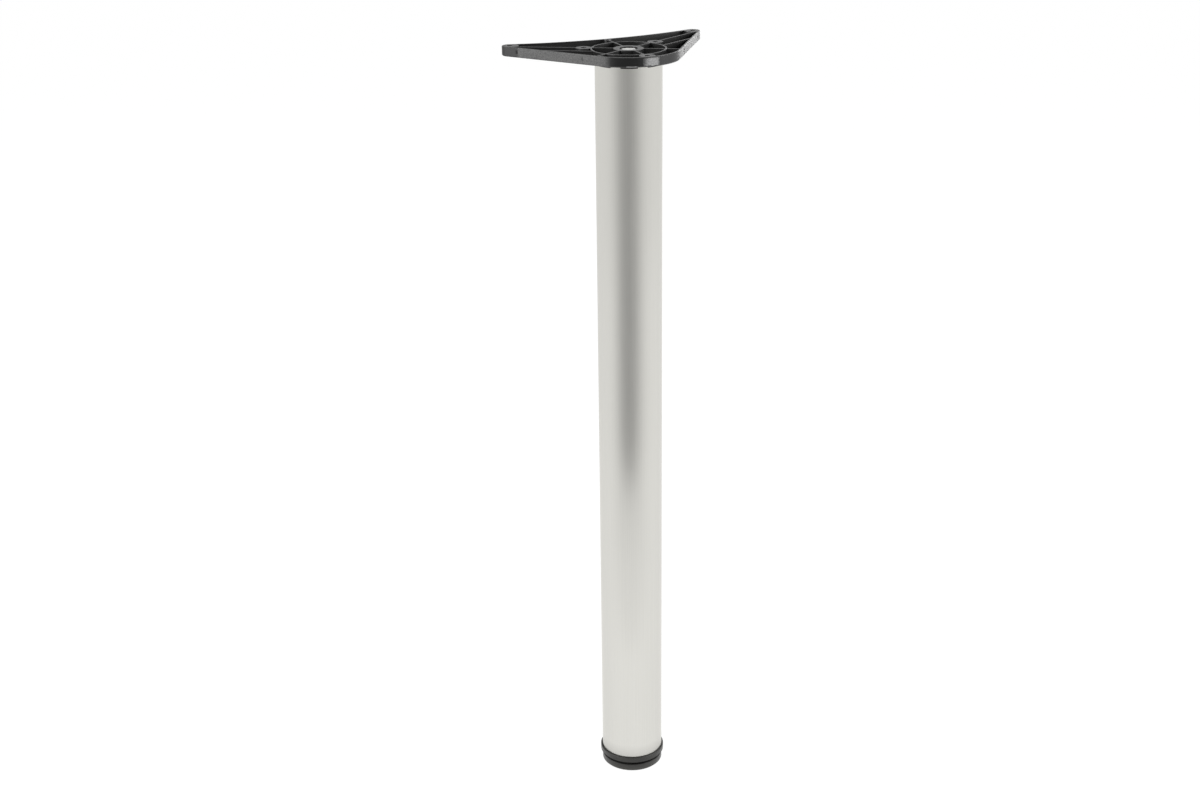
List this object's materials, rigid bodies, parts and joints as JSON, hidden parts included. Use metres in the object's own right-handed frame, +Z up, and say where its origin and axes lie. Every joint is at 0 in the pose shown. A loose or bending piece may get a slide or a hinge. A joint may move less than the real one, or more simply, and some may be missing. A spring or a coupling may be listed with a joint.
{
  "type": "table leg",
  "caption": "Round brushed metal table leg with a ribbed triangular mounting plate on top and a screw-adjusted foot disc below.",
  "frame": {"origin": "on the tube's axis, at the floor under the foot disc", "axes": "+Z up along the tube to the tabletop, the plate's rounded corner points to -Y, and its two tips lie at -X and +X"},
  "size_m": [0.194, 0.112, 0.7247],
  "materials": {
    "plate_plastic": "fine spark-eroded texture, satin",
    "brushed_tube": "fine brush lines along the tube",
    "plug_plastic": "plain moulded",
    "foot_plastic": "satin moulded",
    "fastener_steel": "bright zinc"
  },
  "bodies": {
    "leg": {"mounting_plate": "plate_plastic", "plate_washer": "fastener_steel", "plate_bolt": "fastener_steel", "leg_tube": "brushed_tube", "top_plug": "plug_plastic", "top_plug_nut": "fastener_steel", "foot_socket": "foot_plastic", "foot_socket_nut": "fastener_steel"},
    "foot_stud": {"foot_stud": "fastener_steel"},
    "foot_disc": {"foot_disc": "foot_plastic"}
  },
  "joints": [
    {"name": "foot_height", "type": "slide", "parent": "leg", "child": "foot_stud", "axis": [0, 0, -1], "range_m": [0, 0.02]},
    {"name": "foot_turn", "type": "hinge", "parent": "foot_stud", "child": "foot_disc", "pos_m": [0, 0, 0.004], "axis": [0, 0, -1], "range_deg": [0, 4800]}
  ],
  "couplings": [
    {"joint": "foot_height", "follows": "foot_turn", "m_per_rad": 0.00023873}
  ]
}
